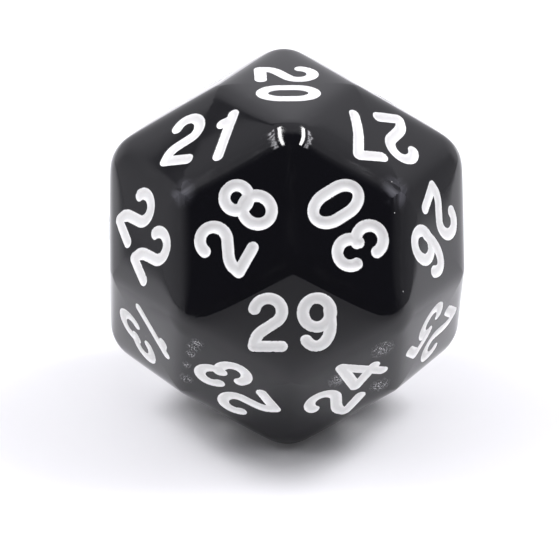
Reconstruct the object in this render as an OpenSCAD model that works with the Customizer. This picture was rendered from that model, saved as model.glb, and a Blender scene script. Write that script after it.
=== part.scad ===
// Thirty-sided die: a rhombic triacontahedron moulded in one piece, with rounded corners and edges.
// Each face carries an engraved number, and every engraving is filled with its own coat of paint.
// The die rests on one face at z = 0, with its middle on the Z axis.

/* [Body] */
// Distance between two opposite faces
across_flats = 32; // [30:0.5:36]
// Rounding at the twelve sharp corners, where five faces meet
sharp_corner_radius = 3.8; // [2.5:0.1:4.2]
// Rounding at the twenty blunt corners, where three faces meet
blunt_corner_radius = 3; // [2.5:0.1:4.2]

/* [Numbers] */
// Height of a digit over its strokes
digit_height = 5.8; // [5:0.1:6]
// Width of a round digit over its strokes
digit_width = 3.55; // [3:0.05:3.7]
// Distance between the middles of two digits side by side
digit_pitch = 4.3; // [4.1:0.1:4.5]
// Width of the cutter that engraves the strokes
stroke_width = 1.1; // [0.8:0.05:1.2]
// Diameter of the dot that tells a lone 6 from a lone 9
dot_diameter = 1.1; // [0.8:0.1:1.4]
// Bare gap between that dot and its digit
dot_gap = 0.7; // [0.5:0.1:1]

/* [Paint] */
// Depth of the engraving below the face
engraving_depth = 0.55; // [0.4:0.05:0.8]
// Depth of the paint's surface below the face
paint_recess = 0.12; // [0.1:0.02:0.2]

/* [Hidden] */
golden = (1 + sqrt(5)) / 2;
inradius = across_flats / 2;
// Half of a face's long diagonal, the unit in which the corners below are written
half_diagonal = inradius / golden;
face_count = 30;
numbers = [1 : face_count];
signs = [-1, 1];
// Facets of a corner's sphere, and the step along a digit's arcs in degrees
corner_facets = 32;
arc_step = 15;
// Turns smaller than this keep one outline point; larger ones are rounded by the cutter
sharp_turn = 30;
// Thickness of the slab behind each flat, and how far a pocket's cutter starts above the face
flat_backing = 1;
cutter_clearance = 0.5;

// Corners where five faces meet, and corners where three meet
sharp_corners = [
    for (a = signs, b = signs) each [
        [a * golden, 0, b],
        [0, a, b * golden],
        [a, b * golden, 0]
    ]
];
blunt_corners = concat(
    [for (a = signs, b = signs, c = signs) [a, b, c]],
    [
        for (a = signs, b = signs) each [
            [a / golden, 0, b * golden],
            [a * golden, b / golden, 0],
            [0, a * golden, b / golden]
        ]
    ]
);

// Every face's outward direction uses these three lengths, or lies on an axis
long = golden / 2;
middle = 1 / 2;
short = 1 / (2 * golden);

// Outward directions of the faces numbered from 30 down to 16: 30, 29 and 28 meet at the front corner,
// the next eight wind round them to the top, and the last four go down behind the right-hand side.
// The two numbers on opposite faces add up to 31, which places the other fifteen.
high_faces = [
    [short, -long, middle],
    [0, -1, 0],
    [-short, -long, middle],
    [middle, -short, long],
    [long, -middle, short],
    [long, -middle, -short],
    [short, -long, -middle],
    [-short, -long, -middle],
    [-long, -middle, short],
    [-middle, -short, long],
    [0, 0, 1],
    [middle, short, long],
    [long, middle, short],
    [1, 0, 0],
    [middle, -short, -long]
];

// High numbers read towards this point, just above the front corner, and low numbers away from it
reading_goal = [1, -9, 5];

function numeral_name(k) = str("numeral_", k);
function unit(v) = v / norm(v);
function is_high(k) = 2 * k > face_count;
function face_normal(k) =
    is_high(k) ? high_faces[face_count - k] : -high_faces[k - 1];

// The way a number reads: along its face's long diagonal, between the two sharp corners in its plane
function face_ends(n) = [for (c = sharp_corners) if (c * n > golden - short) c];
function long_way(n) = unit(face_ends(n)[1] - face_ends(n)[0]);
function reading(k) =
    let (d = long_way(face_normal(k)))
    (d * reading_goal > 0) == is_high(k) ? d : -d;

// Half sizes of a digit's middle line, and a point of it from shares of those half sizes
half_width = (digit_width - stroke_width) / 2;
half_height = (digit_height - stroke_width) / 2;
function at(p) = [p.x * half_width, p.y * half_height];
function path(points) = [for (p = points) at(p)];
function arc(centre, radii, from, to) =
    let (steps = ceil(abs(to - from) / arc_step))
    [
        for (i = [0 : steps])
            let (angle = from + (to - from) * i / steps)
            at(centre + [radii.x * cos(angle), radii.y * sin(angle)])
    ];
function oval(centre, radii) =
    let (points = arc(centre, radii, 0, 360))
    [for (i = [1 : len(points) - 1]) points[i]];

// Middle lines of the digits: open strokes first, then closed loops
function open_strokes(digit) =
    digit == 1 ? [path([[0.15, 1], [0.15, -1]]), path([[-0.55, 0.56], [0.15, 0.74]])] :
    digit == 2 ? [
        concat(
            arc([0, 0.46], [1, 0.54], 170, -52),
            arc([0.64, -0.99], [1.64, 0.83], 127, 158),
            path([[-1, -1], [1, -1]])
        )
    ] :
    digit == 3 ? [
        arc([0, 0.48], [0.95, 0.52], 180, -72),
        arc([0.03, -0.45], [1.03, 0.55], 72, -180)
    ] :
    digit == 4 ? [
        path([[0.58, 1], [-1.48, -0.42], [1.12, -0.42]]),
        path([[0.58, 1], [0.58, -1]])
    ] :
    digit == 5 ? [
        path([[0.92, 1], [-0.8, 1], [-0.92, 0.14]]),
        arc([0, -0.38], [1, 0.62], 142, -147)
    ] :
    digit == 6 ? [concat(path([[-0.9, -0.5]]), arc([0.02, 0.15], [1.02, 0.85], 185, 45))] :
    digit == 7 ? [path([[-1.25, 1], [1, 1], [0.16, 0], [-0.12, -0.5], [-0.3, -1]])] :
    digit == 9 ? [-open_strokes(6)[0]] :
    [];
function loops(digit) =
    digit == 0 ? [concat(arc([0, 0.25], [1, 0.75], 0, 180), arc([0, -0.25], [1, 0.75], 180, 360))] :
    digit == 6 ? [oval([0, -0.4], [1, 0.6])] :
    digit == 8 ? [oval([0, 0.52], [0.9, 0.48]), oval([0, -0.415], [1, 0.585])] :
    digit == 9 ? [-loops(6)[0]] :
    [];

// Outline that the cutter leaves on the left of a closed line: inner corners come to a point,
// sharp outer corners are rounded
function heading(a, b) = atan2(b.y - a.y, b.x - a.x);
function turn(from, to) =
    let (t = (to - from + 540) % 360 - 180)
    t > 179 ? t - 360 : t;
function left_of(line, by) =
    let (n = len(line))
    [
        for (i = [0 : n - 1])
            let (
                before = heading(line[(i + n - 1) % n], line[i]),
                bend = turn(before, heading(line[i], line[(i + 1) % n])),
                rounded = bend < -sharp_turn,
                steps = rounded ? ceil(-bend / arc_step) : 0,
                reach = rounded ? by : by / cos(bend / 2)
            )
            for (j = [0 : steps])
                let (angle = before + 90 + (rounded ? bend * j / steps : bend / 2))
                line[i] + reach * [cos(angle), sin(angle)]
    ];
function there_and_back(line) =
    let (n = len(line))
    concat(line, [for (i = [n - 2 : -1 : 1]) line[i]]);
function reversed(line) = [for (i = [len(line) - 1 : -1 : 0]) line[i]];

module digit_shape(digit) {
    for (line = open_strokes(digit)) {
        polygon(left_of(there_and_back(line), stroke_width / 2));
    }
    for (line = loops(digit)) {
        inner = left_of(line, stroke_width / 2);
        outer = left_of(reversed(line), stroke_width / 2);
        polygon(
            concat(outer, inner),
            [
                [for (i = [0 : len(outer) - 1]) i],
                [for (i = [0 : len(inner) - 1]) len(outer) + i]
            ]
        );
    }
}

// A digit's reach to the left and to the right of its own middle, over its strokes
function across(digit) =
    [for (line = concat(open_strokes(digit), loops(digit))) for (p = line) p.x];
function reach_left(digit) = min(across(digit)) - stroke_width / 2;
function reach_right(digit) = max(across(digit)) + stroke_width / 2;

function digits_of(k) = k < 10 ? [k] : [floor(k / 10), k % 10];
function needs_dot(k) = k == 6 || k == 9;

// A number's digits side by side, centred on the face by their outer edges
module number_shape(k) {
    digits = digits_of(k);
    last = len(digits) - 1;
    dot_room = needs_dot(k) ? dot_gap + dot_diameter : 0;
    right_edge = last * digit_pitch + reach_right(digits[last]);
    middle_x = (reach_left(digits[0]) + right_edge + dot_room) / 2;
    for (i = [0 : last]) {
        translate([i * digit_pitch - middle_x, 0]) digit_shape(digits[i]);
    }
    if (needs_dot(k)) {
        translate([right_edge + dot_gap + dot_diameter / 2 - middle_x, (dot_diameter - digit_height) / 2])
            circle(d = dot_diameter, $fn = corner_facets);
    }
}

// Places children on a face, with X along its long diagonal, the way its number reads, and Z outwards
module on_face(k) {
    n = face_normal(k);
    u = reading(k);
    v = cross(n, u);
    c = [0, 0, inradius] + inradius * n;
    multmatrix([
        [u.x, v.x, n.x, c.x],
        [u.y, v.y, n.y, c.y],
        [u.z, v.z, n.z, c.z],
        [0, 0, 0, 1]
    ])
        children();
}

// Spheres in the corners, each tangent to the faces that meet there
module corner_spheres(corners, radius) {
    for (corner = corners) {
        translate([0, 0, inradius] + corner * (half_diagonal - radius / golden))
            sphere(r = radius, $fn = corner_facets);
    }
}

// The level part of a face: the rhombus between the points where the corner spheres touch it
module face_flat() {
    long_reach = half_diagonal - sharp_corner_radius / golden;
    short_reach = (half_diagonal - blunt_corner_radius / golden) / golden;
    translate([0, 0, -flat_backing])
        linear_extrude(flat_backing)
            polygon([[long_reach, 0], [0, short_reach], [-long_reach, 0], [0, -short_reach]]);
}

module die_blank() {
    hull() {
        corner_spheres(sharp_corners, sharp_corner_radius);
        corner_spheres(blunt_corners, blunt_corner_radius);
        for (k = numbers) {
            on_face(k) face_flat();
        }
    }
}

// The moulded body, engraved on every face
module die_body() {
    color("#17171a")
        difference() {
            die_blank();
            for (k = numbers) {
                on_face(k)
                    translate([0, 0, -engraving_depth])
                        linear_extrude(engraving_depth + cutter_clearance)
                            number_shape(k);
            }
        }
}

// The paint in one number's engraving, bonded to its floor and walls
module numeral(k) {
    color("#f2f2ef")
        on_face(k)
            translate([0, 0, -engraving_depth])
                linear_extrude(engraving_depth - paint_recess)
                    number_shape(k);
}

die_body();
for (k = numbers) {
    numeral(k);
}
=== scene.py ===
import math

import bmesh
import bpy
import numpy as np
from mathutils import Matrix, Vector
from mathutils.geometry import delaunay_2d_cdt


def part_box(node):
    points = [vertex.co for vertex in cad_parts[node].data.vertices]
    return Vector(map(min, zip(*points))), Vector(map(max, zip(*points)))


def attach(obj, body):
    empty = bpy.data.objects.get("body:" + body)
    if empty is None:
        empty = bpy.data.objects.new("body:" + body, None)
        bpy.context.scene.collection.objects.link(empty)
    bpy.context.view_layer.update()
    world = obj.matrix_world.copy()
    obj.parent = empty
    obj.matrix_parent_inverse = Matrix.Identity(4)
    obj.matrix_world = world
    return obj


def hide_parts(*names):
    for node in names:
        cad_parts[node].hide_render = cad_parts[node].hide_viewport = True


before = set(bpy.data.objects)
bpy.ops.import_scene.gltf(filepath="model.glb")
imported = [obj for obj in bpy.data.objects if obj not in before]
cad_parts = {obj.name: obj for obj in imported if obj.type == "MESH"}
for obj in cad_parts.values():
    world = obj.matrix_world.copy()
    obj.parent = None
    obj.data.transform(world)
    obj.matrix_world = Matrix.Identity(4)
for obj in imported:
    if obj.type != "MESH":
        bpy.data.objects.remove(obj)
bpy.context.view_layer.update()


# The die's blank. One solid piece of black acrylic, cast as a rhombic triacontahedron: thirty equal
# rhombic faces. Tumbling with grit rounds its corners and edges, and a last tumble polishes it.
# Sizes are in millimetres, and a face is drawn with X along its long diagonal and Z outwards.
MM = 0.001
GOLDEN = (1 + math.sqrt(5)) / 2
FACES = 30
lowest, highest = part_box("die_body")
INRADIUS = (highest.z - lowest.z) / 2 / MM
HALF_LENGTH = INRADIUS / GOLDEN
HALF_WIDTH = HALF_LENGTH / GOLDEN
die_middle = np.array([0.0, 0.0, INRADIUS])

# Outward directions of the faces, and of the twelve sharp corners, where five faces meet
signs = (-1, 1)
three_signs = [(a, b, c) for a in signs for b in signs for c in signs]
face_ways = [np.roll((sign, 0, 0), i) for i in range(3) for sign in signs]
face_ways += [
    np.roll((a / GOLDEN / 2, b * GOLDEN / 2, c / 2), i) for i in range(3) for a, b, c in three_signs
]
face_ways = np.array(face_ways, dtype=float)
sharp_ways = np.array([np.roll((0, a, b * GOLDEN), i) for i in range(3) for a in signs for b in signs])
sharp_ways /= np.linalg.norm(sharp_ways, axis=1, keepdims=True)

# The tumbled skin stays inside the thirty face planes, and inside a ball in each sharp corner that touches
# the five faces there. Past the cap of the ball a cone runs on from it. Where one limit rules, the skin
# follows it, and where two or more are near, the skin draws back a little and sweeps from one to the next.
CORNER_RADIUS = 4.5
CAP_ANGLE = math.radians(26)
EDGE_CRISPNESS = 6.5
SETTLING_STEPS = 7
TINY = 1e-5
sharp_tip = HALF_LENGTH * math.hypot(1, GOLDEN)
balls = sharp_ways * sharp_tip * (1 - CORNER_RADIUS / INRADIUS)


def skin(spots):
    """Spots drawn towards the die's middle until they lie on its skin, and the skin's directions there."""
    for _ in range(SETTLING_STEPS):
        nearest = np.argmax(spots @ sharp_ways.T, axis=1)
        tips, off_balls = sharp_ways[nearest], spots - balls[nearest]
        along = (off_balls * tips).sum(1, keepdims=True)
        beside = off_balls - along * tips
        around = np.maximum(np.linalg.norm(beside, axis=1, keepdims=True), TINY)
        lean = np.minimum(np.arctan2(around, along), CAP_ANGLE)
        ball_ways = np.cos(lean) * tips + np.sin(lean) * beside / around
        over_balls = (off_balls * ball_ways).sum(1, keepdims=True) - CORNER_RADIUS
        over_faces = spots @ face_ways.T - INRADIUS
        face_shares, ball_shares = np.exp(EDGE_CRISPNESS * over_faces), np.exp(EDGE_CRISPNESS * over_balls)
        total = face_shares.sum(1, keepdims=True) + ball_shares
        ways = (face_shares @ face_ways + ball_shares * ball_ways) / total
        outside = np.log(total) / EDGE_CRISPNESS
        spots = spots * (1 - outside / (ways * spots).sum(1, keepdims=True))
    return spots, ways / np.linalg.norm(ways, axis=1, keepdims=True)


def on_face(axes, points, depths):
    """Places that deep below the skin at points of a face's plane, and the skin's directions there."""
    places, ways = skin(points @ axes[:2] + INRADIUS * axes[2])
    return die_middle + places - depths[:, None] * axes[2], ways


# A face's rhombus, and the same drawn smaller at these distances inside it, close together at its edges
RING_GAPS = (0, 0.07, 0.15, 0.24, 0.34, 0.46, 0.6, 0.8, 1.1, 1.6, 2.4)
SIDE_STEPS = 18
face_inradius = HALF_LENGTH * HALF_WIDTH / math.hypot(HALF_LENGTH, HALF_WIDTH)
side_shares = [(1 - math.cos(math.pi * i / SIDE_STEPS)) / 2 for i in range(SIDE_STEPS)]
corners = [(HALF_LENGTH, 0), (0, HALF_WIDTH), (-HALF_LENGTH, 0), (0, -HALF_WIDTH)]
rhombus = np.array([
    np.multiply(start, 1 - share) + np.multiply(end, share)
    for start, end in zip(corners, corners[1:] + corners[:1])
    for share in side_shares
])
face_rings = [rhombus * (1 - gap / face_inradius) for gap in RING_GAPS]


# The numbers' engraving. A round-nosed cutter follows the middle lines of the digits, which are
# written here in shares of half a digit's width and height, and leaves a groove with a soft lip.
DIGIT_HEIGHT = 5.8
DIGIT_WIDTH = 3.55
DIGIT_PITCH = 4.3
STROKE_WIDTH = 1.1
GROOVE_DEPTH = 0.5
LIP_WIDTH = 0.05
LIP_DROP = 0.02
# A dot tells a lone 6 from a lone 9. It is a very short stroke
DOTTED = (6, 9)
DOT_GAP = 0.7
DOT_LENGTH = 0.02
STROKE_RADIUS = STROKE_WIDTH / 2
half_size = np.array([DIGIT_WIDTH - STROKE_WIDTH, DIGIT_HEIGHT - STROKE_WIDTH]) / 2
# Degrees between two points of an arc
ARC_STEP = 6


def arc(centre, radii, start, end):
    """Points along an oval, from one angle to another in degrees."""
    steps = math.ceil(abs(end - start) / ARC_STEP)
    angles = np.radians(np.linspace(start, end, steps + 1))
    return [(centre[0] + radii[0] * math.cos(a), centre[1] + radii[1] * math.sin(a)) for a in angles]


digit_strokes = {
    1: [[(0.15, 1), (0.15, -1)], [(-0.55, 0.56), (0.15, 0.74)]],
    2: [
        arc((0, 0.46), (1, 0.54), 170, -52)
        + arc((0.64, -0.99), (1.64, 0.83), 127, 158)
        + [(-1, -1), (1, -1)]
    ],
    3: [arc((0, 0.48), (0.95, 0.52), 180, -72), arc((0.03, -0.45), (1.03, 0.55), 72, -180)],
    4: [[(0.58, 1), (-1.48, -0.42), (1.12, -0.42)], [(0.58, 1), (0.58, -1)]],
    5: [[(0.92, 1), (-0.8, 1), (-0.92, 0.14)], arc((0, -0.38), (1, 0.62), 142, -147)],
    6: [[(-0.9, -0.5)] + arc((0.02, 0.15), (1.02, 0.85), 185, 45)],
    7: [[(-1.25, 1), (1, 1), (0.16, 0), (-0.12, -0.5), (-0.3, -1)]],
}
digit_loops = {
    0: [arc((0, 0.25), (1, 0.75), 0, 180) + arc((0, -0.25), (1, 0.75), 180, 360)],
    6: [arc((0, -0.4), (1, 0.6), 0, 360)[1:]],
    8: [arc((0, 0.52), (0.9, 0.48), 0, 360)[1:], arc((0, -0.415), (1, 0.585), 0, 360)[1:]],
}
# A 9 is a 6 turned half round
for table in digit_strokes, digit_loops:
    table[9] = [[(-x, -y) for x, y in line] for line in table[6]]


def number_lines(number):
    """The middle lines of a number on its face: open strokes, and closed loops."""
    strokes, loops = [], []
    for place, digit in enumerate(int(c) for c in str(number)):
        shift = np.array([place * DIGIT_PITCH, 0])
        strokes += [np.array(line) * half_size + shift for line in digit_strokes.get(digit, [])]
        loops += [np.array(line) * half_size + shift for line in digit_loops.get(digit, [])]
    if number in DOTTED:
        right = max(line[:, 0].max() for line in strokes + loops)
        dot = np.array([right + STROKE_WIDTH + DOT_GAP, -half_size[1]])
        strokes.append(dot + np.array([(-DOT_LENGTH / 2, 0), (DOT_LENGTH / 2, 0)]))
    reach = np.concatenate(strokes + loops)[:, 0]
    middle = np.array([(reach.min() + reach.max()) / 2, 0])
    return [line - middle for line in strokes], [line - middle for line in loops]


# Turns to the right that are sharper than this are rounded, in steps of this size. A line that comes
# straight back on itself, give or take a little, counts as a turn to the right
SHARP_TURN = math.radians(30)
ROUND_STEP = math.radians(15)
STRAIGHT_BACK = math.pi - 0.01


def beside(line, gap):
    """The loop at that gap to the left of a closed line. It rounds sharp turns to the right."""
    loop = []
    for before, here, after in zip(np.roll(line, 1, 0), line, np.roll(line, -1, 0)):
        heading = math.atan2(*(here - before)[::-1])
        bend = math.remainder(math.atan2(*(after - here)[::-1]) - heading, math.tau)
        if bend > STRAIGHT_BACK:
            bend -= math.tau
        steps = math.ceil(-bend / ROUND_STEP) if bend < -SHARP_TURN else 0
        reach = gap if steps else gap / math.cos(bend / 2)
        for i in range(steps + 1):
            angle = heading + math.pi / 2 + (bend * i / steps if steps else bend / 2)
            loop.append((here[0] + reach * math.cos(angle), here[1] + reach * math.sin(angle)))
    return loop


def distance_to(lines, points):
    """How far each point is from the nearest of those lines."""
    nearest = np.full(len(points), np.inf)
    for line in lines:
        for start, end in zip(line[:-1], line[1:]):
            run = end - start
            share = np.clip((points - start) @ run / (run @ run), 0, 1)[:, None]
            nearest = np.minimum(nearest, np.linalg.norm(points - start - share * run, axis=1))
    return nearest


def groove_depth(distance):
    """Depth of the engraving below the face, that far from a stroke's middle line."""
    round_nose = np.sqrt(np.maximum(1 - (distance / STROKE_RADIUS) ** 2, 0))
    lip = np.clip(1 - (distance - STROKE_RADIUS) / LIP_WIDTH, 0, 1) ** 2
    return LIP_DROP * lip + (GROOVE_DEPTH - LIP_DROP) * round_nose


# Outlines of the engraving that the mesh follows, by their distance from the strokes' middle lines: one
# on the face, two on the lip and the rest at these shares of the groove's half width
LIP_HALO = 0.25
GROOVE_SHARES = (1, 0.92, 0.82, 0.66, 0.44, 0.22)
groove_rings = [STROKE_RADIUS + gap for gap in (LIP_HALO, LIP_WIDTH, LIP_WIDTH / 2)]
groove_rings += [STROKE_RADIUS * share for share in GROOVE_SHARES]
# Tells Blender's triangulation to keep what is inside the outlines
INSIDE_ONLY = 1


def engraved_face(number):
    """A face and its number: points, triangles, and how far both are from the strokes' middle lines."""
    strokes, loops = number_lines(number)
    closed = list(face_rings)
    for gap in groove_rings:
        closed += [beside(np.concatenate([line, line[-2:0:-1]]), gap) for line in strokes]
        closed += [beside(way, gap) for line in loops for way in (line, line[::-1])]
    spots, edges = [], []
    for line in closed + loops:
        edges += [(len(spots) + i, len(spots) + (i + 1) % len(line)) for i in range(len(line))]
        spots += [Vector(p) for p in line]
    for line in strokes:
        edges += [(len(spots) + i, len(spots) + i + 1) for i in range(len(line) - 1)]
        spots += [Vector(p) for p in line]
    points, _, triangles, *_ = delaunay_2d_cdt(spots, edges, [], INSIDE_ONLY, TINY)
    lines = strokes + [np.concatenate([line, line[:1]]) for line in loops]
    points = np.array([tuple(p) for p in points])
    triangles = np.array(triangles)
    middles = points[triangles].mean(1)
    return points, triangles, distance_to(lines, points), distance_to(lines, middles)


# Each number's face is the one its CAD paint lies on, and the number reads along the face's long diagonal:
# a high number towards a goal just above the front corner, and a low one away from it
READING_GOAL = np.array([1, -9, 5])


def face_frame(number):
    """A face's axes as rows: the way its number reads, upwards along the number, and outwards."""
    low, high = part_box(f"numeral_{number}")
    out = max(face_ways, key=lambda way: way @ ((low + high) / 2 / MM - Vector(die_middle)))
    ends = sorted(sharp_ways, key=lambda way: -(way @ out))[:2]
    reading = ends[1] - ends[0]
    reading /= np.linalg.norm(reading)
    if (reading @ READING_GOAL > 0) != (2 * number > FACES):
        reading = -reading
    return np.array([reading, np.cross(out, reading), out])


# Rub marks run along the edges, which all start from a sharp corner, so they are laid out round the
# nearest one: by the way round it, on a circle of this radius, and by the distance from its tip
RUB_CIRCLE = 3.0


def rub_places(places, triangles):
    """Where each corner of each triangle lies in the rub marks round its nearest sharp corner."""
    spots = places[triangles] - die_middle
    tip = sharp_ways[np.argmax(spots.mean(1) @ sharp_ways.T, axis=1)]
    east = np.roll(tip, 1, axis=1)
    east -= (east * tip).sum(1, keepdims=True) * tip
    east /= np.linalg.norm(east, axis=1, keepdims=True)
    north = np.cross(tip, east)
    x = np.einsum("tcx,tx->tc", spots, east)
    y = np.einsum("tcx,tx->tc", spots, north)
    reach = np.maximum(np.hypot(x, y), TINY)
    return np.stack([RUB_CIRCLE * x / reach, RUB_CIRCLE * y / reach, reach], 2).reshape(-1, 3)


def make_mesh(name, points, triangles):
    """A new object with a mesh of those points, in millimetres."""
    mesh = bpy.data.meshes.new(name)
    mesh.from_pydata((points * MM).tolist(), [], triangles.tolist())
    mesh.shade_smooth()
    piece = bpy.data.objects.new(name, mesh)
    bpy.context.scene.collection.objects.link(piece)
    return piece


# Half of the turn from a face to its neighbour
EDGE_TILT = math.radians(18)
# Neighbouring faces have the same points along their edge, and points this close are made one
WELD = 1e-4
# Share of the lip, from the groove outwards, that is shaded by its own shape. Past it the skin's goes on
OWN_SHADING = 0.9
numbers = range(1, FACES + 1)
faces = {number: engraved_face(number) for number in numbers}
body_points, body_triangles, body_ways = [], [], []
body_wear, body_lip, body_rub = [], [], []
for number in numbers:
    points, triangles, distance, _ = faces[number]
    axes = face_frame(number)
    places, ways = on_face(axes, points, groove_depth(distance))
    body_triangles.append(triangles + sum(len(p) for p in body_points))
    body_points.append(places)
    body_ways.append(ways)
    body_wear.append(np.arccos(np.clip(ways @ axes[2], -1, 1)) / EDGE_TILT)
    body_lip.append(np.clip(1 - (distance - STROKE_RADIUS) / LIP_HALO, 0, 1))
    body_rub.append(rub_places(places, triangles))
body = make_mesh("die_blank", np.concatenate(body_points), np.concatenate(body_triangles))
for name, values in ("wear", body_wear), ("lip", body_lip):
    body.data.attributes.new(name, "FLOAT", "POINT").data.foreach_set("value", np.concatenate(values))
for name, domain, values in ("skin", "POINT", body_ways), ("rub", "CORNER", body_rub):
    body.data.attributes.new(name, "FLOAT_VECTOR", domain).data.foreach_set(
        "vector", np.concatenate(values).ravel()
    )
welded = bmesh.new()
welded.from_mesh(body.data)
bmesh.ops.remove_doubles(welded, verts=welded.verts, dist=WELD * MM)
welded.to_mesh(body.data)
welded.free()
count = len(body.data.vertices)
ways, own_ways, lips = np.zeros(count * 3), np.zeros(count * 3), np.zeros(count)
body.data.attributes["skin"].data.foreach_get("vector", ways)
body.data.attributes["lip"].data.foreach_get("value", lips)
body.data.vertex_normals.foreach_get("vector", own_ways)
engraved = lips > 1 - OWN_SHADING * LIP_WIDTH / LIP_HALO
ways = np.where(engraved[:, None], own_ways.reshape(-1, 3), ways.reshape(-1, 3))
body.data.normals_split_custom_set_from_vertices(ways)
for name in "skin", "lip":
    body.data.attributes.remove(body.data.attributes[name])
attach(body, "root")
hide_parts("die_body")


def linear(hex_colour):
    """An sRGB hex colour as linear RGBA."""
    shares = [int(hex_colour[i : i + 2], 16) / 255 for i in (1, 3, 5)]
    return [s / 12.92 if s <= 0.04045 else ((s + 0.055) / 1.055) ** 2.4 for s in shares] + [1]


def node(tree, kind, feeds=(), **settings):
    """Adds a node with its settings, and feeds its sockets from values, nodes or other sockets."""
    made = tree.nodes.new(kind)
    for name, value in settings.items():
        setattr(made, name, value)
    sockets = [socket for socket in made.inputs if socket.enabled]
    for name, value in dict(feeds).items():
        socket = sockets[name] if isinstance(name, int) else next(s for s in sockets if s.name == name)
        if isinstance(value, bpy.types.Node):
            value = next(s for s in value.outputs if s.enabled)
        if isinstance(value, bpy.types.NodeSocket):
            tree.links.new(value, socket)
        else:
            socket.default_value = value
    return made


# Black acrylic, cast and tumble-polished. It gives the eye a deep black with a clear but cloudy mirror on
# it, edges that are hazy with rub marks, pale speckles from knocks against other dice, whose near white is
# partly a painted highlight for their glints, smears whose grey is a painted reflection, and some dust.
# Real rub marks, chips and dust are too fine to show in the view, so they are drawn coarser.
PLASTIC_COLOUR = "#09090e"
HAZE_COLOUR = "#1e1e20"
# The smears' grey is a painted reflection on the blunt corners
SMEAR_SHEEN_COLOUR = "#5a5a60"
# The speckles are chips, and their near white is partly a painted highlight for their glints
SPECKLE_GLINT_COLOUR = "#d0d0d2"
DUST_COLOUR = "#c4c4c2"
ACRYLIC_IOR = 1.49
POLISH_ROUGHNESS = 0.02
POLISH_CLOUD = 2.5
RUB_LENGTH = 4.0
RUB_WIDTH = 0.22
RUB_WANDER = 0.3
SPECKLE_SIZE = 0.12
SCRATCH_DEPTH = 0.02
SCRATCH_STRENGTH = 0.25
DUST_SPACING = 2.6
DUST_SIZE = 0.07
DUST_CORE = 0.6
# Places of the knocks, and how far each reaches: in a row along the edge below the 22, and round the 24
KNOCKS = (
    ((-8.3, -14.9, 13.6), 0.8),
    ((-8.7, -14.4, 12.8), 0.8),
    ((-8.9, -13.8, 11.8), 0.7),
    ((-9.2, -12.6, 10.2), 0.6),
    ((-9.3, -11.4, 8.2), 0.9),
    ((8.2, -14.6, 12.5), 1.5),
    ((4.2, -14.1, 9.4), 1.3),
    ((8.1, -11.4, 7.5), 1.3),
)
# The same for the smears, whose grey is a painted reflection: on the blunt corners above the 28 and the
# 30, and beside the 20
SMEARS_WITH_SHEEN = (
    ((-9.7, -9.8, 25.9), 1.7),
    ((9.5, -9.9, 26.0), 2.0),
    ((-3.6, -2.8, 32.0), 0.4),
)
acrylic = bpy.data.materials.new("tumbled_black_acrylic")
acrylic.use_nodes = True
tree = acrylic.node_tree
shader = tree.nodes["Principled BSDF"]
shader.inputs["IOR"].default_value = ACRYLIC_IOR
place = node(tree, "ShaderNodeTexCoord").outputs["Object"]
wear = node(tree, "ShaderNodeAttribute", attribute_name="wear").outputs["Fac"]
rub = node(tree, "ShaderNodeAttribute", attribute_name="rub").outputs["Vector"]
clouds = node(tree, "ShaderNodeTexNoise", {"Vector": place, "Scale": 1 / (POLISH_CLOUD * MM), "Detail": 3})
grit = node(tree, "ShaderNodeTexNoise", {"Vector": place, "Scale": 1 / (SPECKLE_SIZE * MM), "Detail": 1})
motes = node(tree, "ShaderNodeTexVoronoi", {"Vector": place, "Scale": 1 / (DUST_SPACING * MM)})
wander = (RUB_WANDER, RUB_WANDER, RUB_WANDER)
rub = node(
    tree,
    "ShaderNodeVectorMath",
    {0: clouds.outputs["Color"], 1: wander, 2: rub},
    operation="MULTIPLY_ADD",
)
rub_scale = (1 / RUB_WIDTH, 1 / RUB_WIDTH, 1 / RUB_LENGTH)
along_rubs = node(tree, "ShaderNodeVectorMath", {0: rub, 1: rub_scale}, operation="MULTIPLY")
strands = node(tree, "ShaderNodeTexNoise", {"Vector": along_rubs, "Scale": 1, "Detail": 2})
# Marks made from the patterns, each with the pattern's values at which the mark starts and is full
rubs, sheen_streaks, edges, patches, chips_with_glints, dust = [
    node(tree, "ShaderNodeMapRange", {"Value": pattern, "From Min": start, "From Max": full})
    for pattern, start, full in (
        (strands, 0.45, 0.75),
        (strands, 0.35, 0.7),
        (wear, 0.3, 1.3),
        (clouds, 0.4, 0.62),
        (grit, 0.56, 0.64),
        (motes.outputs["Distance"], DUST_SIZE / DUST_SPACING, DUST_CORE * DUST_SIZE / DUST_SPACING),
    )
]
worn = node(tree, "ShaderNodeMath", {0: rubs, 1: edges}, operation="MULTIPLY")
worn = node(tree, "ShaderNodeMath", {0: worn, 1: patches}, operation="MULTIPLY")
damage_and_sheen = []
for marks in KNOCKS, SMEARS_WITH_SHEEN:
    marked = 0.0
    for spot, reach in marks:
        gap = node(tree, "ShaderNodeVectorMath", {0: place, 1: Vector(spot) * MM}, operation="DISTANCE")
        near = node(
            tree,
            "ShaderNodeMapRange",
            {"Value": gap.outputs["Value"], "From Min": reach * MM, "From Max": 0},
            interpolation_type="SMOOTHSTEP",
        )
        marked = node(tree, "ShaderNodeMath", {0: near, 1: marked}, operation="MAXIMUM")
    damage_and_sheen.append(marked)
knocked, smeared_sheen = damage_and_sheen
# Chips round the knocks. Their near white is partly a painted highlight for their glints
speckles_and_glints = node(tree, "ShaderNodeMath", {0: chips_with_glints, 1: knocked}, operation="MULTIPLY")
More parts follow.
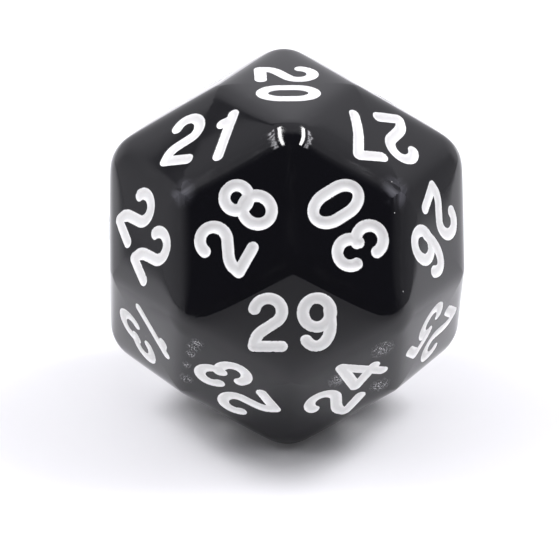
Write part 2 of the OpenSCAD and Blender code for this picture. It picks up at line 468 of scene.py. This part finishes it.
# The smears are drawn in streaks: their grey is a painted reflection, and they roughen the polish
smeared_sheen = node(tree, "ShaderNodeMath", {0: smeared_sheen, 1: sheen_streaks}, operation="MULTIPLY")
colour = linear(PLASTIC_COLOUR)
for mark, mark_colour in (
    (worn, HAZE_COLOUR),
    (smeared_sheen, SMEAR_SHEEN_COLOUR),
    (speckles_and_glints, SPECKLE_GLINT_COLOUR),
    (dust, DUST_COLOUR),
):
    colour = node(
        tree, "ShaderNodeMix", {"Factor": mark, "A": colour, "B": linear(mark_colour)}, data_type="RGBA"
    )
tree.links.new(colour.outputs["Result"], shader.inputs["Base Color"])
# What the clouds and the marks add to the polish's roughness where they are full
roughness = POLISH_ROUGHNESS
for mark, added in (clouds, 0.06), (worn, 0.25), (smeared_sheen, 0.25), (knocked, 0.15):
    roughness = node(tree, "ShaderNodeMath", {0: mark, 1: added, 2: roughness}, operation="MULTIPLY_ADD")
tree.links.new(roughness.outputs[0], shader.inputs["Roughness"])
relief = node(tree, "ShaderNodeMath", {0: worn, 1: speckles_and_glints}, operation="ADD")
bump = node(
    tree,
    "ShaderNodeBump",
    {"Strength": SCRATCH_STRENGTH, "Distance": SCRATCH_DEPTH * MM, "Height": relief},
)
tree.links.new(bump.outputs["Normal"], shader.inputs["Normal"])
body.data.materials.append(acrylic)


# The numbers' paint. White acrylic paint is wiped into the grooves and off the faces, and it sinks a
# little as it dries, so its surface is dished. Each number is a coat of its own, bonded to its groove.
PAINT_DISH = 0.2
PAINT_RIM = 0.04
# How near to the groove's edge a point counts as on it, and the angle from which the coat's edges are sharp
AT_EDGE = 1e-4
SHARP_EDGE = math.radians(40)
# Matt white acrylic paint, dried in the groove. It is whitest at the rim, a painted highlight, and a little
# greyer and cloudy in the sunken middle, painted shade. Its edge is ragged where the wiping cloth has
# pulled bits of it off.
# The real grain of the paint is too fine to show in the view, so it is drawn coarser.
# The rim's whiter colour is a painted highlight, and the middle's greyer colour is painted shade
LIT_RIM_COLOUR = "#f2f2f0"
SHADED_MIDDLE_COLOUR = "#dcdcda"
PAINT_IOR = 1.48
PAINT_ROUGHNESS = 0.4
CLOUD_ROUGHNESS = 0.2
PAINT_CLOUD = 0.5
PAINT_GRAIN = 0.22
GRAIN_HEIGHT = 0.03
GRAIN_STRENGTH = 0.2
# How far the clouds and the grain move the rim, in shares of the groove's half width, and where on that
# scale the painted highlight of the rim starts and is full, and where the paint starts to be pulled off and
# is gone
CLOUD_MOVE = 0.5
GRAIN_MOVE = 0.4
RIM_HIGHLIGHT_RANGE = (0.5, 1.1)
BARING = (1.2, 1.23)
paint = bpy.data.materials.new("wiped_white_acrylic_paint")
paint.use_nodes = True
tree = paint.node_tree
shader = tree.nodes["Principled BSDF"]
shader.inputs["IOR"].default_value = PAINT_IOR
place = node(tree, "ShaderNodeTexCoord").outputs["Object"]
rim = node(tree, "ShaderNodeAttribute", attribute_name="rim").outputs["Fac"]
clouds = node(tree, "ShaderNodeTexNoise", {"Vector": place, "Scale": 1 / (PAINT_CLOUD * MM), "Detail": 3})
grain = node(tree, "ShaderNodeTexNoise", {"Vector": place, "Scale": 1 / (PAINT_GRAIN * MM), "Detail": 2})
cloudy_rim = node(tree, "ShaderNodeMath", {0: clouds, 1: CLOUD_MOVE, 2: rim}, operation="MULTIPLY_ADD")
ragged_rim = node(tree, "ShaderNodeMath", {0: grain, 1: GRAIN_MOVE, 2: rim}, operation="MULTIPLY_ADD")
rim_highlight = node(
    tree,
    "ShaderNodeMapRange",
    {"Value": cloudy_rim, "From Min": RIM_HIGHLIGHT_RANGE[0], "From Max": RIM_HIGHLIGHT_RANGE[1]},
    interpolation_type="SMOOTHSTEP",
)
bare = node(tree, "ShaderNodeMapRange", {"Value": ragged_rim, "From Min": BARING[0], "From Max": BARING[1]})
# The painted highlight of the rim on the painted shade of the middle, then the plastic where paint is
# pulled off
colour = linear(SHADED_MIDDLE_COLOUR)
for mark, mark_colour in (rim_highlight, LIT_RIM_COLOUR), (bare, PLASTIC_COLOUR):
    colour = node(
        tree, "ShaderNodeMix", {"Factor": mark, "A": colour, "B": linear(mark_colour)}, data_type="RGBA"
    )
tree.links.new(colour.outputs["Result"], shader.inputs["Base Color"])
roughness = node(
    tree,
    "ShaderNodeMath",
    {0: clouds, 1: CLOUD_ROUGHNESS, 2: PAINT_ROUGHNESS},
    operation="MULTIPLY_ADD",
)
tree.links.new(roughness.outputs[0], shader.inputs["Roughness"])
bump = node(
    tree,
    "ShaderNodeBump",
    {"Strength": GRAIN_STRENGTH, "Distance": GRAIN_HEIGHT * MM, "Height": grain},
)
tree.links.new(bump.outputs["Normal"], shader.inputs["Normal"])

for number in numbers:
    points, triangles, distance, middle_distance = faces[number]
    triangles = triangles[middle_distance < STROKE_RADIUS]
    used, triangles = np.unique(triangles, return_inverse=True)
    triangles = triangles.reshape(-1, 3)
    points, distance = points[used], distance[used]
    at_rim = distance > STROKE_RADIUS - AT_EDGE
    sunk = np.clip(1 - distance / (STROKE_RADIUS - PAINT_RIM), 0, 1)
    axes = face_frame(number)
    coat, _ = on_face(axes, points, LIP_DROP + PAINT_DISH * sunk * (2 - sunk))
    bed, _ = on_face(axes, points, groove_depth(distance))
    under = np.where(at_rim, np.arange(len(points)), len(points) + np.cumsum(~at_rim) - 1)
    piece = make_mesh(
        f"number_{number}",
        np.concatenate([coat, bed[~at_rim]]),
        np.concatenate([triangles, under[triangles][:, ::-1]]),
    )
    piece.data.set_sharp_from_angle(angle=SHARP_EDGE)
    share = np.minimum(distance / STROKE_RADIUS, 1)
    piece.data.attributes.new("rim", "FLOAT", "POINT").data.foreach_set(
        "value", np.concatenate([share, share[~at_rim]])
    )
    piece.data.materials.append(paint)
    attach(piece, "root")
    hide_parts(f"numeral_{number}")


# The floor. A sheet of matt white paper, which gives the die a plain white ground with a soft shadow.
# Towards the tent's open front and its sides the paper's colour is darkened, painted shade that the die
# shows in its lower faces and that lights it less. The camera sees it without that shade, exposed until it
# is white everywhere outside the die's shadow.
PAPER_LEFT = -340
PAPER_RIGHT = 285
PAPER_FRONT = -75
PAPER_BACK = 300
# The paper's white as it lights the die, and as the camera and the die's mirror see it
PAPER_WHITE = 0.9
EXPOSED_WHITE = 1.0
# Where the painted shade starts, where it is full, and the share of the white that it leaves there
FRONT_SHADE = (-16, -60, 0.42)
LEFT_SHADE = (-140, -330, 0.45)
RIGHT_SHADE = (200, 265, 0.4)
paper_corners = [
    (PAPER_LEFT, PAPER_FRONT, 0),
    (PAPER_RIGHT, PAPER_FRONT, 0),
    (PAPER_RIGHT, PAPER_BACK, 0),
    (PAPER_LEFT, PAPER_BACK, 0),
]
floor = make_mesh("floor", np.array(paper_corners), np.array([(0, 1, 2), (0, 2, 3)]))
paper = bpy.data.materials.new("matt_white_paper")
paper.use_nodes = True
tree = paper.node_tree
tree.nodes.clear()
rays = node(tree, "ShaderNodeLightPath").outputs
seen = 0.0
for ray in "Is Camera Ray", "Is Glossy Ray", "Is Transmission Ray":
    seen = node(tree, "ShaderNodeMath", {0: rays[ray], 1: seen}, operation="MAXIMUM")
white = node(tree, "ShaderNodeMapRange", {"Value": seen, "To Min": PAPER_WHITE, "To Max": EXPOSED_WHITE})
spot = node(tree, "ShaderNodeTexCoord").outputs["Object"]
spot = node(tree, "ShaderNodeSeparateXYZ", {0: spot}).outputs
# Painted shade: the paper is darker towards the front and the sides, except where the camera sees it
for measure, (start, full, left) in (
    (spot["Y"], FRONT_SHADE),
    (spot["X"], LEFT_SHADE),
    (spot["X"], RIGHT_SHADE),
):
    shade = node(
        tree,
        "ShaderNodeMapRange",
        {"Value": measure, "From Min": start * MM, "From Max": full * MM, "To Min": 1, "To Max": left},
        interpolation_type="SMOOTHSTEP",
    )
    shade = node(tree, "ShaderNodeMath", {0: shade, 1: rays["Is Camera Ray"]}, operation="MAXIMUM")
    white = node(tree, "ShaderNodeMath", {0: white, 1: shade}, operation="MULTIPLY")
sheet = node(tree, "ShaderNodeBsdfDiffuse", {"Color": white})
node(tree, "ShaderNodeOutputMaterial", {"Surface": sheet})
floor.data.materials.append(paper)


# The light. The die stands near the front of a tent of white cloth, which glows brightest at its back. A
# dark seam joins its roof to the back wall, a dark hatch lies between the two light bars under the roof,
# and strips of creased foil beside the bars throw their light on. The front is open to a dim room.
LAMP_COLOUR = "#faf9ff"
CLOTH_LIGHT = 0.62
ROOM_LIGHT = 0.09
# What each part of the tent adds to the cloth's light, or takes from it
BACK_GLOW = 0.26
RIGHT_GLOW = -0.2
LEFT_GLOW = 0.06
SEAM_GLOW = -0.42
HATCH_GLOW = -0.55
OPENING_GLOW = -0.6
FOIL_GLOW = 11.0
# Slope to the right of the line that the hatch and the foil lie evenly about
FOIL_SHIFT = 0.05
# How close together the foil's creases are, as the scale of their noise
CREASE_SCALE = 14
tent = bpy.data.worlds.new("light_tent")
bpy.context.scene.world = tent
tent.use_nodes = True
tree = tent.node_tree
tree.nodes.clear()
way = node(tree, "ShaderNodeTexCoord").outputs["Generated"]
axis = node(tree, "ShaderNodeSeparateXYZ", {0: way}).outputs
front = node(tree, "ShaderNodeMath", {0: axis["Y"], 1: -1}, operation="MULTIPLY")
across = node(tree, "ShaderNodeMath", {0: axis["X"]}, operation="ABSOLUTE")
# Slopes of the way that is looked along: across the roof and along it, up the back wall, up the open
# front, and forwards. A reach is never less than this, so that none of them runs off to infinity
LEAST_REACH = 0.1
slopes = []
for rise, reach in (
    (axis["X"], axis["Z"]),
    (axis["Y"], axis["Z"]),
    (axis["Z"], axis["Y"]),
    (axis["Z"], front),
    (front, across),
):
    reach = node(tree, "ShaderNodeMath", {0: reach, 1: LEAST_REACH}, operation="MAXIMUM")
    slopes.append(node(tree, "ShaderNodeMath", {0: rise, 1: reach}, operation="DIVIDE"))
lean, run, back_rise, front_rise, forward = slopes
lean = node(tree, "ShaderNodeMath", {0: lean, 1: FOIL_SHIFT}, operation="SUBTRACT")
lean = node(tree, "ShaderNodeMath", {0: lean}, operation="ABSOLUTE")
creases = node(tree, "ShaderNodeTexNoise", {"Vector": way, "Scale": CREASE_SCALE, "Detail": 3})
# The parts of the tent, each with the limits that it lies between. A limit is something measured along the
# way, the value at which the part starts and the value from which it is full
back_wall = ((axis["Y"], 0.4, 0.6), (back_rise, 1.12, 1.0))
right_wall = ((axis["X"], 0.8, 0.95),)
left_wall = ((axis["X"], -0.4, -0.6),)
seam = (
    (axis["X"], 0.3, 0.1),
    (axis["Y"], 0.2, 0.4),
    (back_rise, 1.09, 1.11),
    (back_rise, 1.16, 1.14),
)
hatch = ((lean, 0.5, 0.42), (run, 0.12, 0.0), (axis["Z"], 0.3, 0.5))
opening = ((front, -0.05, 0.05), (front_rise, 2.7, 1.9), (forward, 0.1, 0.88))
foil = (
    (lean, 0.70, 0.74),
    (lean, 0.92, 0.86),
    (run, -0.78, -0.65),
    (run, 0.68, 0.55),
    (creases, 0.40, 0.62),
)
light = CLOTH_LIGHT
for limits, glow in (
    (back_wall, BACK_GLOW),
    (right_wall, RIGHT_GLOW),
    (left_wall, LEFT_GLOW),
    (seam, SEAM_GLOW),
    (hatch, HATCH_GLOW),
    (opening, OPENING_GLOW),
    (foil, FOIL_GLOW),
):
    for measure, start, full in limits:
        share = node(
            tree,
            "ShaderNodeMapRange",
            {"Value": measure, "From Min": start, "From Max": full},
            interpolation_type="SMOOTHSTEP",
        )
        glow = node(tree, "ShaderNodeMath", {0: share, 1: glow}, operation="MULTIPLY")
    light = node(tree, "ShaderNodeMath", {0: glow, 1: light}, operation="ADD")
light = node(tree, "ShaderNodeMath", {0: light, 1: ROOM_LIGHT}, operation="MAXIMUM")
# The camera sees plain white beyond the paper
cloth = node(tree, "ShaderNodeBackground", {"Color": linear(LAMP_COLOUR), "Strength": light})
white = node(tree, "ShaderNodeBackground", {"Color": linear("#ffffff"), "Strength": 1})
rays = node(tree, "ShaderNodeLightPath").outputs
behind = node(tree, "ShaderNodeMixShader", {0: rays["Is Camera Ray"], 1: cloth, 2: white})
node(tree, "ShaderNodeOutputWorld", {"Surface": behind})

# Two light bars run from front to back under the tent's roof, this far to its left and right. They show as
# two white streaks on the die's upper front corner, and the four lamps that follow do their lighting.
BAR_PLACES = (-118, 150)
BAR_HEIGHT = 284
BAR_WIDTH = 38
BAR_LENGTH = 323
BAR_MIDDLE = -13
BAR_POWER = 1.0
for sideways in BAR_PLACES:
    bar = bpy.data.lights.new("light_bar", "AREA")
    bar.shape = "RECTANGLE"
    bar.size = BAR_WIDTH * MM
    bar.size_y = BAR_LENGTH * MM
    bar.energy = BAR_POWER
    holder = bpy.data.objects.new("light_bar", bar)
    holder.location = Vector((sideways, BAR_MIDDLE, INRADIUS + BAR_HEIGHT)) * MM
    holder.rotation_euler = (0, math.atan2(sideways, BAR_HEIGHT), 0)
    holder.visible_diffuse = False
    holder.visible_camera = False
    bpy.context.scene.collection.objects.link(holder)

# Four soft lamps: one high on each side, which cast the shadow, one low in front, which fills the front
# faces, and a faint one high in front. The cloth spreads their light, so they leave no reflection of their
# own. Each has its way round the die and up from it in degrees, its height and its power in watts.
LAMP_WIDTH = 170
LAMP_DISTANCE = 400
LAMPS = (
    ("right_lamp", 15, 50, 170, 0.96),
    ("left_lamp", 163, 52, 170, 0.8),
    ("front_lamp", -90, 0, 25, 0.6),
    ("top_lamp", -90, 65, 170, 0.12),
)
for name, azimuth, elevation, height, power in LAMPS:
    lamp = bpy.data.lights.new(name, "AREA")
    lamp.shape = "RECTANGLE"
    lamp.size = LAMP_WIDTH * MM
    lamp.size_y = height * MM
    lamp.energy = power
    lamp.color = linear(LAMP_COLOUR)[:3]
    round_die, rise = math.radians(azimuth), math.radians(elevation)
    away = Vector((
        math.cos(round_die) * math.cos(rise),
        math.sin(round_die) * math.cos(rise),
        math.sin(rise),
    ))
    holder = bpy.data.objects.new(name, lamp)
    holder.location = (Vector(die_middle) + LAMP_DISTANCE * away) * MM
    holder.rotation_euler = away.to_track_quat("Z", "Y").to_euler()
    holder.visible_glossy = False
    holder.visible_camera = False
    bpy.context.scene.collection.objects.link(holder)


# The camera, far off and a little above the die, at the photograph's angle. The die's middle falls on this
# pixel of the view, and a millimetre there is this many pixels
IMAGE_WIDTH = 560
PIXELS_PER_MM = 11.03
DIE_PIXEL = (285.5, 245.5)
CAMERA_ELEVATION = math.radians(25.4)
CAMERA_AZIMUTH = math.radians(-2.40)
CAMERA_ROLL = math.radians(0.65)
CAMERA_DISTANCE = 479.6
back = Vector((
    math.sin(CAMERA_AZIMUTH) * math.cos(CAMERA_ELEVATION),
    -math.cos(CAMERA_AZIMUTH) * math.cos(CAMERA_ELEVATION),
    math.sin(CAMERA_ELEVATION),
))
level_right = Vector((math.cos(CAMERA_AZIMUTH), math.sin(CAMERA_AZIMUTH), 0))
level_up = back.cross(level_right)
right = math.cos(CAMERA_ROLL) * level_right + math.sin(CAMERA_ROLL) * level_up
up = back.cross(right)
lens = bpy.data.cameras.new("camera")
lens.lens = PIXELS_PER_MM * CAMERA_DISTANCE * lens.sensor_width / IMAGE_WIDTH
camera = bpy.data.objects.new("camera", lens)
bpy.context.scene.collection.objects.link(camera)
target = (
    Vector(die_middle)
    + right * (IMAGE_WIDTH / 2 - DIE_PIXEL[0]) / PIXELS_PER_MM
    - up * (IMAGE_WIDTH / 2 - DIE_PIXEL[1]) / PIXELS_PER_MM
)
camera_axes = Matrix((right, up, back)).transposed().to_4x4()
camera.matrix_world = Matrix.Translation((target + back * CAMERA_DISTANCE) * MM) @ camera_axes
bpy.context.scene.camera = camera
bpy.context.scene.view_settings.view_transform = "Standard"
